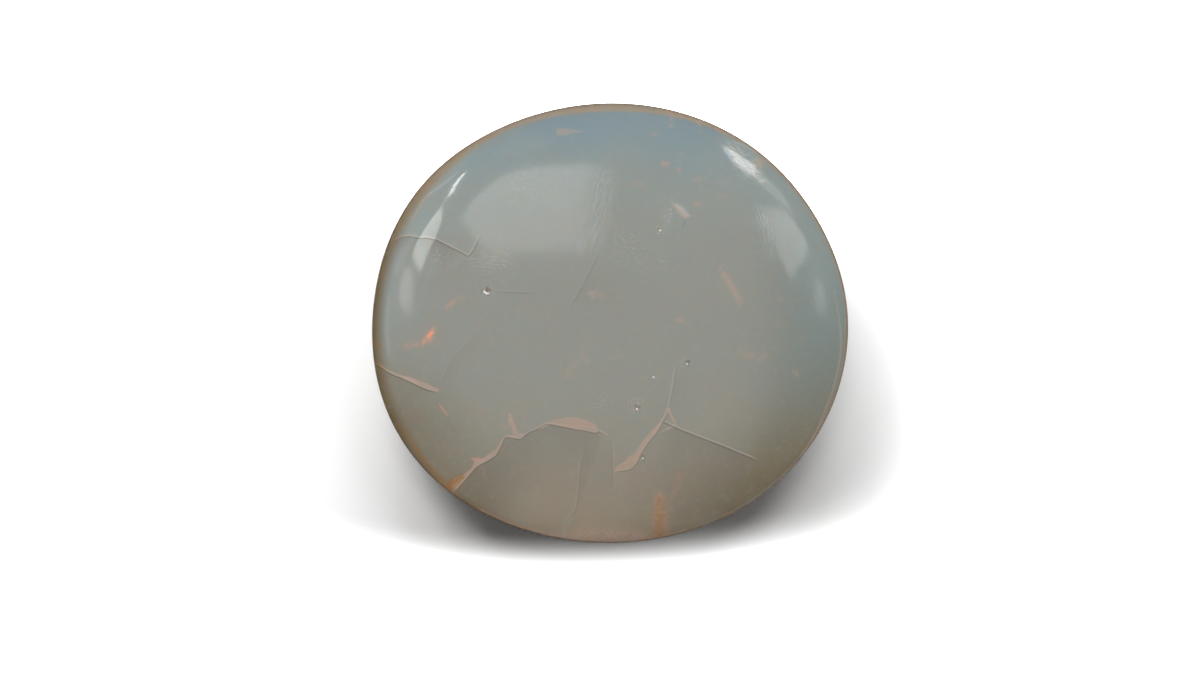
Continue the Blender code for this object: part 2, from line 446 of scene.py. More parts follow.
STONE_FILLS = (
    FillLight("stone_left", -100.0, 25.0, 0.24),
    FillLight("stone_back_left", -20.0, 25.0, 0.13),
    FillLight("stone_back", 0.0, 28.0, 0.13),
    FillLight("stone_right", 80.0, 15.0, 0.10),
    FillLight("stone_right_front", 100.0, 27.0, 0.13),
    FillLight("stone_over", -8.0, 75.0, 0.40),
    FillLight("stone_over_left", -40.0, 62.0, 0.07),
    FillLight("stone_front", 180.0, 46.0, 0.42),
)
FLOOR_FILLS = (
    FillLight("floor_low_back", 0.0, 15.0, 0.26),
    FillLight("floor_low_right", 20.0, 15.0, 0.12),
    FillLight("floor_back", -20.0, 25.0, 0.23),
    FillLight("floor_back_left", -40.0, 33.0, 0.26),
    FillLight("floor_back_right", 40.0, 55.0, 0.145),
    FillLight("floor_over_left", -40.0, 75.0, 0.065),
    FillLight("floor_left", -100.0, 45.0, 0.055),
    FillLight("floor_over", -20.0, 85.0, 0.105),
    FillLight("floor_right", 80.0, 25.0, 0.075),
)
FILL_DISTANCE = 0.70
FILL_SIZE = 0.26

FLOOR_HALF = 3.0

# The floor is painted brighter, for the camera alone, except in an oval round the stone, which is
# a painted shadow. The oval follows (x / half) ** power + (y / half) ** power = 1, and OVAL_EDGE is
# where the painted light is full
OVAL_MIDDLE = (-0.0055, -0.0050)
OVAL_HALF = (0.0305, 0.0153)
OVAL_POWERS = (2.0, 3.75)
OVAL_EDGE = 3.6


def outline_share(turn):
    """The outline's radius over the plain ellipse's, in directions given in radians."""
    share = np.ones_like(turn)
    for direction, amount, spread in OUTLINE_BULGES:
        off = np.remainder(turn - math.radians(direction) + math.pi, math.tau) - math.pi
        share += amount * np.exp(-((off / math.radians(spread)) ** 2))
    return share


def hand_wave(x, y, height):
    """How far the polished surface stands out of the true lens, in metres."""
    return height * (
        np.sin(WAVE_TURNS * x + 0.7) * np.cos(0.8 * WAVE_TURNS * y)
        + 0.6 * np.sin(1.7 * WAVE_TURNS * y + 0.5 * WAVE_TURNS * x)
    )


def lens_points(on_sphere, form):
    """Moves points of the unit sphere to the lens, before it is seated on the table."""
    turn = np.arctan2(on_sphere[:, 1], on_sphere[:, 0])
    outward = np.minimum(1.0, np.hypot(on_sphere[:, 0], on_sphere[:, 1]))
    rho = outward ** (2.0 / PLAN_POWER) * outline_share(turn)
    half = (STONE_HIGH - STONE_LOW) / 2.0
    x = rho * np.cos(turn) * half.x
    y = rho * np.sin(turn) * half.y
    up = on_sphere[:, 2]
    reach = np.where(up > 0.0, form.dome_height, -form.belly_depth)
    z = reach * np.abs(up) ** (2.0 / RISE_POWER) + hand_wave(x, y, form.wave_height) * up
    return np.column_stack((x, y, z))


def stone_points(on_sphere, form):
    """Moves points of the unit sphere to the seated stone, flat where it rests."""
    turn = np.linspace(0.0, math.tau, GIRDLE_STEPS + 1)
    girdle = lens_points(np.column_stack((np.cos(turn), np.sin(turn), np.zeros_like(turn))), form)
    low = girdle.min(axis=0)
    high = girdle.max(axis=0)
    points = lens_points(on_sphere, form)
    for axis in (0, 1):
        middle = (low[axis] + high[axis]) / 2.0
        size = (STONE_HIGH - STONE_LOW)[axis]
        points[:, axis] = (points[:, axis] - middle) * size / (high[axis] - low[axis])
    points[:, 2] = np.maximum(points[:, 2] + form.girdle_height, STONE_LOW.z)
    return points


def camera_axes():
    """The camera's place, and its right, up and backward directions."""
    backward = Vector((0.0, -math.cos(VIEW_ELEVATION), math.sin(VIEW_ELEVATION)))
    right = Vector((1.0, 0.0, 0.0))
    return VIEW_TARGET + VIEW_DISTANCE * backward, right, backward.cross(right), backward


def photo_pixels(points):
    """Where points of the stone are seen in the photograph, in its pixels."""
    place, right, up, backward = (np.array(vector) for vector in camera_axes())
    seen = points - place
    depth = -(seen @ backward)
    scale = PHOTO_WIDTH * LENS / SENSOR
    x = PHOTO_WIDTH * (0.5 - SHIFT_X) + scale * (seen @ right) / depth
    y = PHOTO_HEIGHT / 2.0 + PHOTO_WIDTH * SHIFT_Y - scale * (seen @ up) / depth
    return np.column_stack((x, y))


def smooth_step(low, high, value):
    """0 below low and 1 above high, with a smooth rise between them."""
    share = np.clip((value - low) / (high - low), 0.0, 1.0)
    return share * share * (3.0 - 2.0 * share)


def smooth_line(points):
    """Points on a smooth curve through a few points, close enough together to look round."""
    points = np.array(points, float)
    if len(points) < 3:
        return points
    padded = np.vstack((2.0 * points[0] - points[1], points, 2.0 * points[-1] - points[-2]))
    curve = [points[0]]
    for before, start, end, after in zip(padded, padded[1:], padded[2:], padded[3:]):
        for step in range(1, CURVE_STEPS + 1):
            share = step / CURVE_STEPS
            bend = 2.0 * start + (end - before) * share
            bend += (2.0 * before - 5.0 * start + 4.0 * end - after) * share**2
            bend += (3.0 * start - before - 3.0 * end + after) * share**3
            curve.append(bend / 2.0)
    return np.array(curve)


def close_to(pixels, line, reach):
    """Which places lie within reach of the box round a line."""
    low = line.min(axis=0) - reach
    high = line.max(axis=0) + reach
    return np.all((pixels > low) & (pixels < high), axis=1)


def along_line(pixels, line):
    """The signed distance to a line, positive on its right, and the run along it to there."""
    best = np.full(len(pixels), FAR)
    signed = np.full(len(pixels), FAR)
    run = np.zeros(len(pixels))
    start_run = 0.0
    for start, end in zip(line[:-1], line[1:]):
        way = end - start
        length = math.hypot(way[0], way[1])
        off = pixels - start
        share = np.clip(off @ way / length**2, 0.0, 1.0)
        gap = off - share[:, None] * way
        distance = np.hypot(gap[:, 0], gap[:, 1])
        side = np.where(way[0] * off[:, 1] - way[1] * off[:, 0] > 0.0, 1.0, -1.0)
        nearer = distance < best
        best = np.where(nearer, distance, best)
        signed = np.where(nearer, side * distance, signed)
        run = np.where(nearer, start_run + share * length, run)
        start_run += length
    return signed, run, start_run


def inside_area(pixels, outline):
    """The distance to a closed outline, positive inside it."""
    nearest = np.full(len(pixels), FAR)
    inside = np.zeros(len(pixels), bool)
    for start, end in zip(outline, np.roll(outline, -1, axis=0)):
        way = end - start
        off = pixels - start
        share = np.clip(off @ way / (way @ way), 0.0, 1.0)
        gap = off - share[:, None] * way
        nearest = np.minimum(nearest, np.hypot(gap[:, 0], gap[:, 1]))
        crosses = (start[1] > pixels[:, 1]) != (end[1] > pixels[:, 1])
        if way[1]:
            at = start[0] + (pixels[:, 1] - start[1]) / way[1] * way[0]
            inside ^= crosses & (pixels[:, 0] < at)
    return np.where(inside, nearest, -nearest)


def mark_distance(pixels, reach):
    """How far places are from the nearest crack or veil, as far as reach, in pixels."""
    nearest = np.full(len(pixels), FAR)
    for crack in CRACKS:
        line = smooth_line(crack.points)
        near = close_to(pixels, line, reach)
        nearest[near] = np.minimum(nearest[near], np.abs(along_line(pixels[near], line)[0]))
    for points in VEILS:
        outline = np.array(points, float)
        near = close_to(pixels, outline, reach)
        nearest[near] = np.minimum(nearest[near], -inside_area(pixels[near], outline))
    return nearest


def split_faces(stone, near):
    """Splits the faces of the unit sphere that touch the chosen corners."""
    stone.verts.index_update()
    edges = {
        edge
        for face in stone.faces
        if any(near[vert.index] for vert in face.verts)
        for edge in face.edges
    }
    bmesh.ops.subdivide_edges(stone, edges=list(edges), cuts=1, use_grid_fill=True)
    bmesh.ops.triangulate(stone, faces=[face for face in stone.faces if len(face.verts) > 3])
    for vert in stone.verts:
        vert.co.normalize()


def refine_marks(stone, form):
    """Makes the mesh finer along the cracks and veils, and finest in the pits."""
    for reach in MARK_REACHES:
        on_sphere = np.array([vert.co for vert in stone.verts])
        pixels = photo_pixels(stone_points(on_sphere, form))
        split_faces(stone, (mark_distance(pixels, reach) < reach) & (on_sphere[:, 2] > MARKED_FROM))
    for reach in PIT_REACHES:
        on_sphere = np.array([vert.co for vert in stone.verts])
        points = stone_points(on_sphere, form)
        near = np.zeros(len(points), bool)
        for x, y, _, _ in PITS:
            near |= np.hypot(points[:, 0] - x, points[:, 1] - y) < reach
        split_faces(stone, near & (on_sphere[:, 2] > PITTED_FROM))


def pit_bowl(points, number):
    """How deep a pit is at each place, from 0 at its uneven edge to 1 in its middle."""
    x, y, radius, _ = PITS[number]
    off_x = points[:, 0] - x
    off_y = points[:, 1] - y
    turn = np.arctan2(off_y, off_x)
    two, five = PIT_LOBES
    uneven = 1.0 + two * np.sin(2.0 * turn + 2.0 * number) + five * np.sin(5.0 * turn - number)
    off = np.hypot(off_x, off_y) / (radius * uneven)
    bowl = np.clip(1.0 - off**2, 0.0, 1.0) ** PIT_STEEPNESS
    return np.where(points[:, 2] > GIRDLE_HEIGHT, bowl, 0.0)


def sink_pits(points):
    """Presses the open pits into the dome."""
    for number, (_, _, _, depth) in enumerate(PITS):
        points[:, 2] -= depth * pit_bowl(points, number)


def outline_radius(off, turn):
    """The radius of the stone's outline in the photograph, for directions in radians."""
    own_turn = np.arctan2(-off[:, 1], off[:, 0])
    bins = np.floor((own_turn + math.pi) / math.tau * OUTLINE_STEPS).astype(int) % OUTLINE_STEPS
    widest = np.zeros(OUTLINE_STEPS)
    np.maximum.at(widest, bins, np.hypot(off[:, 0], off[:, 1]))
    centres = (np.arange(OUTLINE_STEPS) + 0.5) / OUTLINE_STEPS * math.tau - math.pi
    return np.interp(turn, centres, widest, period=math.tau)


def round_rim(degrees, usual, places):
    """A usual value with more or less of it in some directions, in degrees."""
    value = np.full(len(degrees), usual)
    for direction, amount, spread in places:
        off = np.remainder(degrees - direction + 180.0, 360.0) - 180.0
        value += amount * np.exp(-((off / spread) ** 2))
    return value


def rim_marks(pixels):
    """The place on the face, the distance from its rim, and how the rim's colours and its painted shade
    vary round it.
    """
    off = pixels - OUTLINE_MIDDLE
    turn = np.arctan2(-off[:, 1], off[:, 0])
    degrees = np.degrees(turn)
    depth = outline_radius(off, turn) - np.hypot(off[:, 0], off[:, 1])
    softness = round_rim(degrees, RIM_SOFTNESS, RIM_SOFTENINGS)
    return {
        "face_x": off[:, 0] / OUTLINE_RADIUS,
        "face_y": -off[:, 1] / OUTLINE_RADIUS,
        "rim_depth": depth,
        "rim_edge": (depth - round_rim(degrees, RIM_WIDTH, RIM_WIDENINGS)) / softness,
        "rim_shade": round_rim(degrees, 0.0, RIM_SHADES),
        "rim_shaded_umber": round_rim(degrees, 0.0, RIM_SHADED_UMBERS),
    }


def crack_marks(pixels):
    """The distance from the nearest crack, the run along it, and how it shows there, with its painted
    highlight and painted shade lines and the painted shading beside it.
    """
    marks = {name: np.zeros(len(pixels)) for name in ("crack_run", "crack_highlight", "crack_shade", "tone")}
    marks["crack"] = np.full(len(pixels), CRACK_REACH)
    for crack in CRACKS:
        line = smooth_line(crack.points)
        near = close_to(pixels, line, max(CRACK_REACH, 4.0 * crack.reach))
        signed, run, length = along_line(pixels[near], line)
        distance = np.abs(signed)
        start_fade, end_fade = crack.fade
        show = np.ones(len(signed))
        wide = smooth_step(0.0, WIDE_FADE, length - run)
        if start_fade:
            show *= smooth_step(0.0, start_fade, run)
            wide *= smooth_step(0.0, WIDE_FADE, run)
        if end_fade:
            show *= smooth_step(0.0, end_fade, length - run)
        fall = np.exp(-distance / crack.reach)
        marks["tone"][near] += crack.step * wide * fall * np.where(signed > 0.0, -1.0, 0.6)
        nearer = distance < np.abs(marks["crack"][near])
        for name, values in (("crack", signed), ("crack_run", run), ("crack_highlight", crack.light * show),
                             ("crack_shade", crack.dark * show)):
            marks[name][near] = np.where(nearer, values, marks[name][near])
    return marks


def spread_line(pixels, points, half_width, strength):
    """How strongly a soft line, which tapers to its ends, shows at each place."""
    line = smooth_line(points)
    near = close_to(pixels, line, 3.0 * half_width)
    show = np.zeros(len(pixels))
    signed, run, length = along_line(pixels[near], line)
    share = run / length
    width = half_width * (0.5 + 2.0 * share * (1.0 - share))
    show[near] = strength * np.exp(-((signed / width) ** 2))
    return show


def spot(pixels, place, radius):
    """1 at a place and less away from it."""
    distance = np.hypot(pixels[:, 0] - place[0], pixels[:, 1] - place[1])
    return np.exp(-((distance / radius) ** 2))


def stone_marks(points):
    """Measures what the material needs to know at every point of the stone."""
    pixels = photo_pixels(points)
    marks = crack_marks(pixels)
    marks["veil"] = np.full(len(points), -VEIL_REACH)
    for corners in VEILS:
        outline = np.array(corners, float)
        near = close_to(pixels, outline, VEIL_REACH)
        marks["veil"][near] = np.maximum(marks["veil"][near], inside_area(pixels[near], outline))
    for name, lines in (("glow", GLOWS), ("thread", THREADS), ("pale_line_and_highlight", PALE_LINES_AND_HIGHLIGHTS), ("ochre", OCHRES),
                        ("fleck", FLECKS), ("rub", RUBS)):
        marks[name] = np.zeros(len(points))
        for line in lines:
            marks[name] = np.maximum(marks[name], spread_line(pixels, *line))
    for patch in SCRATCHES:
        marks[patch.name] = spread_line(pixels, patch.points, patch.half_width, 1.0)
    for name, spots in (("speckle", SPECKLES), ("chip_glint", CHIP_GLINTS), ("pit_shade", PIT_SHADES)):
        marks[name] = np.zeros(len(points))
        for x, y, radius, strength in spots:
            marks[name] = np.maximum(marks[name], strength * spot(pixels, (x, y), radius))
    marks["pit"] = np.zeros(len(points))
    for number in range(len(PITS)):
        marks["pit"] = np.maximum(marks["pit"], pit_bowl(points, number))
    front = smooth_step(-FRONT_FADE, 0.0, points[:, 2] - GIRDLE_HEIGHT - FRONT_SLOPE * points[:, 1])
    for name, values in marks.items():
        if name == "veil":
            values -= VEIL_REACH * (1.0 - front)
        elif name not in ("crack", "crack_run"):
            values *= front
    marks.update(rim_marks(pixels))
    return marks


def opal_mesh(form):
    """The stone's mesh, with the marks of its cracks, veils and rim as attributes."""
    stone = bmesh.new()
    bmesh.ops.create_icosphere(stone, subdivisions=SPHERE_STEPS, radius=1.0)
    refine_marks(stone, form)
    points = stone_points(np.array([vert.co for vert in stone.verts]), form)
    marks = stone_marks(points)
    sink_pits(points)
    for vert, place in zip(stone.verts, points):
        vert.co = place
    bmesh.ops.recalc_face_normals(stone, faces=stone.faces[:])
    mesh = bpy.data.meshes.new("opal_stone")
    stone.to_mesh(mesh)
    stone.free()
    mesh.shade_smooth()
    for name, values in marks.items():
        attribute = mesh.attributes.new(name, "FLOAT", "POINT")
        attribute.data.foreach_set("value", values.astype(np.float32))
    return mesh


def add_node(tree, kind, **settings):
    """A node of a kind, with its settings."""
    node = tree.nodes.new(kind)
    for name, value in settings.items():
        setattr(node, name, value)
    return node


def feed(tree, socket, value):
    """Links a socket to another, or sets its value."""
    if isinstance(value, bpy.types.NodeSocket):
        tree.links.new(value, socket)
    else:
        socket.default_value = value


def figure(tree, operation, *values, clamp=False):
    """The result of a Math node."""
    node = add_node(tree, "ShaderNodeMath", operation=operation, use_clamp=clamp)
    for socket, value in zip(node.inputs, values):
        feed(tree, socket, value)
    return node.outputs[0]


def mark(tree, name):
    """One of the stone's marks."""
    return add_node(tree, "ShaderNodeAttribute", attribute_name=name).outputs["Fac"]


def ramp(tree, value, low, high, at_low=0.0, at_high=1.0):
    """A smooth step of a value between two numbers."""
    node = add_node(tree, "ShaderNodeMapRange", interpolation_type="SMOOTHSTEP")
    for name, number in (("Value", value), ("From Min", low), ("From Max", high),
                         ("To Min", at_low), ("To Max", at_high)):
        feed(tree, node.inputs[name], number)
    return node.outputs["Result"]


def lay_over(tree, under, over, share):
    """One colour over another, by a share."""
    node = add_node(tree, "ShaderNodeMix", data_type="RGBA", clamp_factor=True)
    feed(tree, node.inputs["Factor"], share)
    feed(tree, node.inputs["A"], under)
    feed(tree, node.inputs["B"], over)
    return node.outputs["Result"]


def stroked(tree, place, angle, length):
    """Object coordinates drawn out along a direction, in degrees from straight back."""
    node = add_node(tree, "ShaderNodeMapping", vector_type="TEXTURE")
    feed(tree, node.inputs["Vector"], place)
    node.inputs["Rotation"].default_value = (0.0, 0.0, math.radians(angle))
    node.inputs["Scale"].default_value = (1.0, length, 1.0)
    return node.outputs["Vector"]


def noise(tree, place, scale, detail=2.0, roughness=0.5):
    """A noise value about 0.5."""
    node = add_node(tree, "ShaderNodeTexNoise")
    feed(tree, node.inputs["Vector"], place)
    node.inputs["Scale"].default_value = scale
    node.inputs["Detail"].default_value = detail
    node.inputs["Roughness"].default_value = roughness
    return node.outputs["Fac"]


def body_colour(tree, place, colours):
    """The milky body: bluer towards the top, browner towards the bottom, cloudy throughout.

    It carries painted shade near the lower rim, and painted shading across the inner plates.
    """
    cloud = figure(tree, "MULTIPLY_ADD", noise(tree, place, CLOUD_SCALE, 3.0), 0.4, -0.2)
    height = figure(tree, "ADD", mark(tree, "face_y"), cloud)
    side = mark(tree, "face_x")
    depth = mark(tree, "rim_depth")
    colour = lay_over(tree, colours.milk, colours.teal, ramp(tree, side, 0.5, 1.0, 0.0, 0.82))
    colour = lay_over(tree, colour, colours.haze, ramp(tree, height, 0.0, 0.9, 0.0, 0.7))
    near_rim = figure(tree, "MULTIPLY", ramp(tree, depth, 75.0, 15.0), ramp(tree, height, -0.4, 0.3))
    colour = lay_over(tree, colour, colours.haze, figure(tree, "MULTIPLY", near_rim, 0.6))
    colour = lay_over(tree, colour, colours.blue, ramp(tree, height, 0.55, 1.0, 0.0, 0.9))
    colour = lay_over(tree, colour, colours.warm, ramp(tree, height, -0.12, -0.95))
    # Painted shade: olive darkening near the lower corners of the rim
    shade = figure(tree, "MULTIPLY", mark(tree, "rim_shade"), ramp(tree, depth, 95.0, 0.0))
    colour = lay_over(tree, colour, colours.olive_shade, shade)
    # Painted shade under the edges of the inner plates, and painted light along them
    tone = mark(tree, "tone")
    colour = lay_over(tree, colour, colours.shade, figure(tree, "MULTIPLY", tone, -0.5, clamp=True))
    return lay_over(tree, colour, colours.pale_light_and_mottle, figure(tree, "MULTIPLY", tone, 0.25, clamp=True))


def rim_colour(tree, under, colours):
    """The clear amber edge, partly painted light through the thin edge, with a darker line at its very
    outside, and the lines near it.
    """
    # The umber is painted shade on the shaded side of the rim, and the amber is partly painted light
    shaded_umber = mark(tree, "rim_shaded_umber")
    rim = lay_over(tree, colours.amber, colours.shaded_umber, shaded_umber)
    # The darker outside line is strongest where the umber painted shade is
    line = ramp(tree, mark(tree, "rim_depth"), 2.6, 0.8)
    line = figure(tree, "MULTIPLY", line, ramp(tree, shaded_umber, 0.0, 1.0, 0.32, 0.7))
    rim = lay_over(tree, rim, colours.amber_edge, line)
    colour = lay_over(tree, under, rim, ramp(tree, mark(tree, "rim_edge"), 1.0, -1.0))
    for name, tint in (("thread", colours.peach), ("pale_line_and_highlight", colours.pale_line_and_highlight), ("ochre", colours.ochre)):
        colour = lay_over(tree, colour, tint, mark(tree, name))
    return colour


def crack_colour(tree, under, place, colours):
    """The healed cracks with their painted highlight and painted shade lines, their peach veils, and the
    glowing streaks and flecks.
    """
    waver = figure(tree, "MULTIPLY_ADD", noise(tree, place, WAVER_SCALE, 2.0), 2.0 * WAVER, -WAVER)
    crack = figure(tree, "ADD", mark(tree, "crack"), waver)
    streaks = add_node(tree, "ShaderNodeCombineXYZ")
    for socket, name, scale in zip(streaks.inputs, ("crack_run", "crack"), STREAK_SCALES):
        feed(tree, socket, figure(tree, "MULTIPLY", mark(tree, name), scale))
    streak = noise(tree, streaks.outputs["Vector"], 1.0, 2.0)
    veil = figure(tree, "ADD", mark(tree, "veil"), waver)
    veil = figure(tree, "MULTIPLY", ramp(tree, veil, -0.8, 0.9), ramp(tree, streak, 0.3, 0.65, 0.3, 0.9))
    colour = lay_over(tree, under, colours.peach, veil)
    # A painted highlight and a painted shade line along each crack, as a small step would show
    for name, middle, width, tint in (("crack_highlight", -0.9, 1.2, colours.crack_highlight),
                                      ("crack_shade", 0.6, 1.1, colours.crack_shade)):
        off = figure(tree, "ABSOLUTE", figure(tree, "SUBTRACT", crack, middle))
        line = figure(tree, "MULTIPLY", ramp(tree, off, width, 0.2), mark(tree, name))
        colour = lay_over(tree, colour, tint, line)
    uneven = ramp(tree, noise(tree, place, UNEVEN_SCALE, 2.0), 0.3, 0.6, 0.5, 1.2)
    for name, tint in (("fleck", colours.peach), ("glow", colours.ember)):
        colour = lay_over(tree, colour, tint, figure(tree, "MULTIPLY", mark(tree, name), uneven))
    return colour


def scratches(tree, place):
    """Fine parallel scratches, in patches."""
    lines = 0.0
    for patch in SCRATCHES:
        strokes = noise(tree, stroked(tree, place, patch.angle, STROKE_LENGTH), STROKE_SCALE, 1.0)
        strokes = figure(tree, "MULTIPLY", ramp(tree, strokes, 0.42, 0.66), mark(tree, patch.name))
        lines = figure(tree, "MAXIMUM", lines, strokes)
    return lines


def rubbed_strokes(tree, place):
    """Short strokes where the polish is rubbed."""
    strokes = noise(tree, stroked(tree, place, RUB_ANGLE, RUB_LENGTH), RUB_SCALE, 1.0)
    return figure(tree, "MULTIPLY", ramp(tree, strokes, 0.4, 0.66), mark(tree, "rub"))


def surface_colour(tree, under, place, colours):
    """Pale specks and scratches in the polish, pale rubbed strokes as painted sheen on the highlights, and
    the chipped stone in and round the pits with its painted glints and painted shade.
    """
    speck = ramp(tree, noise(tree, place, SPECK_SCALE, 0.0), 0.6, 0.72)
    speck = figure(tree, "MULTIPLY", speck, mark(tree, "speckle"))
    colour = under
    for pattern, strength in ((speck, SPECK_STRENGTH), (scratches(tree, place), STROKE_STRENGTH),
                              # The pale rubbed strokes are painted sheen where the lamps' highlights break
                              # up
                              (rubbed_strokes(tree, place), RUB_SHEEN_STRENGTH)):
        colour = lay_over(tree, colour, colours.dust_and_sheen, figure(tree, "MULTIPLY", pattern, strength))
    mottle = ramp(tree, noise(tree, place, MOTTLE_SCALE, 3.0), 0.5, 0.8, 0.0, MOTTLE_STRENGTH)
    colour = lay_over(tree, colour, colours.pale_light_and_mottle, mottle)
    # Painted shade in and round the pits, and white chips painted as glints
    pit_shade = figure(tree, "MULTIPLY", mark(tree, "pit_shade"), PIT_SHADE_STRENGTH)
    colour = lay_over(tree, colour, colours.crack_shade, pit_shade)
    return lay_over(tree, colour, colours.chip_glint, ramp(tree, mark(tree, "chip_glint"), 0.05, 0.6))


def polish_bump(tree, place, shader):
    """Scratches and grain that break up the reflections."""
    height = scratches(tree, place)
    chipped = figure(tree, "MULTIPLY", mark(tree, "pit"), noise(tree, place, CHIPPED_SCALE, 2.0))
    for pattern, rise in ((noise(tree, place, GRAIN_SCALE, 1.0), GRAIN_HEIGHT),
                          (rubbed_strokes(tree, place), RUB_HEIGHT), (chipped, CHIPPED_HEIGHT)):
        height = figure(tree, "MULTIPLY_ADD", pattern, rise, height)
    bump = add_node(tree, "ShaderNodeBump")
    bump.inputs["Strength"].default_value = 1.0
    bump.inputs["Distance"].default_value = SCRATCH_DEPTH
    feed(tree, bump.inputs["Height"], height)
    feed(tree, shader.inputs["Normal"], bump.outputs["Normal"])


def opal_material(colours):
    """Milky opal, a little clear and amber inside, with a hand polish."""
    material = bpy.data.materials.new("opal_milk")
    material.use_nodes = True
    tree = material.node_tree
    shader = tree.nodes["Principled BSDF"]
    place = add_node(tree, "ShaderNodeTexCoord").outputs["Object"]
    colour = body_colour(tree, place, colours)
    colour = crack_colour(tree, colour, place, colours)
    colour = rim_colour(tree, colour, colours)
    colour = surface_colour(tree, colour, place, colours)
    feed(tree, shader.inputs["Base Color"], colour)
    polish_bump(tree, place, shader)
    shader.inputs["Roughness"].default_value = colours.roughness
    shader.inputs["IOR"].default_value = OPAL_REFRACTION
    shader.inputs["Subsurface Weight"].default_value = 1.0
    shader.inputs["Subsurface Radius"].default_value = HAZE_SPREAD
    shader.inputs["Subsurface Scale"].default_value = colours.haze_depth
    shader.inputs["Transmission Weight"].default_value = colours.clearness
    absorption = add_node(tree, "ShaderNodeVolumeAbsorption")
    absorption.inputs["Color"].default_value = colours.inner_amber
    absorption.inputs["Density"].default_value = colours.amber_density
    tree.links.new(absorption.outputs["Volume"], tree.nodes["Material Output"].inputs["Volume"])
    return material


def light_way(azimuth, elevation):
    """The direction of a light from the stone, from angles in degrees."""
    turn = math.radians(azimuth)
    rise = math.radians(elevation)
    return Vector((math.sin(turn) * math.cos(rise), math.cos(turn) * math.cos(rise), math.sin(rise)))


def add_area_light(name, way, distance, width, height, brightness):
    """A rectangular light of a brightness, facing the stone."""
    light = bpy.data.lights.new(name, "AREA")
    light.shape = "RECTANGLE"
    light.size = width
    light.size_y = height
    light.energy = brightness * math.pi * width * height
    lamp = bpy.data.objects.new(name, light)
    lamp.location = way * distance + VIEW_TARGET
    lamp.rotation_euler = way.to_track_quat("Z", "Y").to_euler()
    lamp.visible_camera = False
    bpy.context.scene.collection.objects.link(lamp)
    return lamp


def add_mirrored_light(mirrored):
    """A light with a soft-edged outline, which the polish mirrors."""
    outline = np.array(mirrored.outline)
    half = np.abs(outline).max(axis=0) + mirrored.softness
    width, height = 2.0 * LIGHT_DISTANCE * half
    way = light_way(mirrored.azimuth, mirrored.elevation)
    lamp = add_area_light(mirrored.name, way, LIGHT_DISTANCE, width, height, mirrored.brightness)
    lamp.data.color = mirrored.tint
    lamp.data.use_nodes = True
    tree = lamp.data.node_tree
    place = add_node(tree, "ShaderNodeNewGeometry").outputs["Parametric"]
    following = np.roll(outline, -1, axis=0)
    winding = np.sign(np.sum(outline[:, 0] * following[:, 1] - following[:, 0] * outline[:, 1]))
    mask = 1.0
    for start, end in zip(outline, following):
        inward = np.array((start[1] - end[1], end[0] - start[0])) * winding
        inward /= np.linalg.norm(inward)
        dot = add_node(tree, "ShaderNodeVectorMath", operation="DOT_PRODUCT")
        feed(tree, dot.inputs[0], place)
        dot.inputs[1].default_value = (-2.0 * half[0] * inward[0], 2.0 * half[1] * inward[1], 0.0)
        edge = (start @ inward) + half[1] * inward[1] - half[0] * inward[0]
        side = ramp(tree, dot.outputs["Value"], edge - mirrored.softness, edge + mirrored.softness)
        mask = figure(tree, "MULTIPLY", mask, side)
    feed(tree, tree.nodes["Emission"].inputs["Strength"], mask)
    lamp.visible_diffuse = False
    lamp.visible_transmission = False


def add_fills(fills, lit):
    """Soft lights that the polish doesn't mirror, for one object alone."""
    receivers = bpy.data.collections.new(lit.name + "_lit")
    receivers.objects.link(lit)
    for fill in fills:
        way = light_way(fill.azimuth, fill.elevation)
        on_floor = (FILL_SIZE / FILL_DISTANCE) ** 2 * way.z / math.pi
        brightness = fill.brightness / on_floor
        lamp = add_area_light(fill.name, way, FILL_DISTANCE, FILL_SIZE, FILL_SIZE, brightness)
        lamp.visible_glossy = False
        lamp.visible_transmission = False
        lamp.light_linking.receiver_collection = receivers


def floor_material(stage):
    """The pale matt floor, painted brighter round the stone for the camera alone, which leaves a painted
    shadow in an oval under it. The polish mirrors it faintly.
    """
    material = bpy.data.materials.new("pale_floor")
    material.use_nodes = True
    tree = material.node_tree
    shader = tree.nodes["Principled BSDF"]
    path = add_node(tree, "ShaderNodeLightPath").outputs
    colour = lay_over(tree, stage.floor, stage.mirrored_floor, path["Is Glossy Ray"])
    feed(tree, shader.inputs["Base Color"], colour)
    shader.inputs["Roughness"].default_value = 1.0
    shader.inputs["Specular IOR Level"].default_value = 0.0
    spread = add_node(tree, "ShaderNodeSeparateXYZ")
    feed(tree, spread.inputs[0], add_node(tree, "ShaderNodeTexCoord").outputs["Object"])
    off = 0.0
    for place, middle, half, power in zip(spread.outputs, OVAL_MIDDLE, OVAL_HALF, OVAL_POWERS):
        share = figure(tree, "DIVIDE", figure(tree, "SUBTRACT", place, middle), half)
        share = figure(tree, "POWER", figure(tree, "ABSOLUTE", share), power)
        off = figure(tree, "ADD", off, share)
    # Painted light for the camera alone, which leaves a painted shadow in the oval round the stone
    glow = ramp(tree, off, 1.0, OVAL_EDGE, 0.0, stage.painted_floor_glow)
    glow = figure(tree, "MULTIPLY", glow, path["Is Camera Ray"])
    shader.inputs["Emission Color"].default_value = (1.0, 1.0, 1.0, 1.0)
    feed(tree, shader.inputs["Emission Strength"], glow)
    return material


def add_floor(stage):
    """A wide level floor."""
    floor = bmesh.new()
    bmesh.ops.create_grid(floor, x_segments=1, y_segments=1, size=FLOOR_HALF)
    mesh = bpy.data.meshes.new("floor")
    floor.to_mesh(mesh)
    floor.free()
    mesh.materials.append(floor_material(stage))
    ground = bpy.data.objects.new("floor", mesh)
    bpy.context.scene.collection.objects.link(ground)


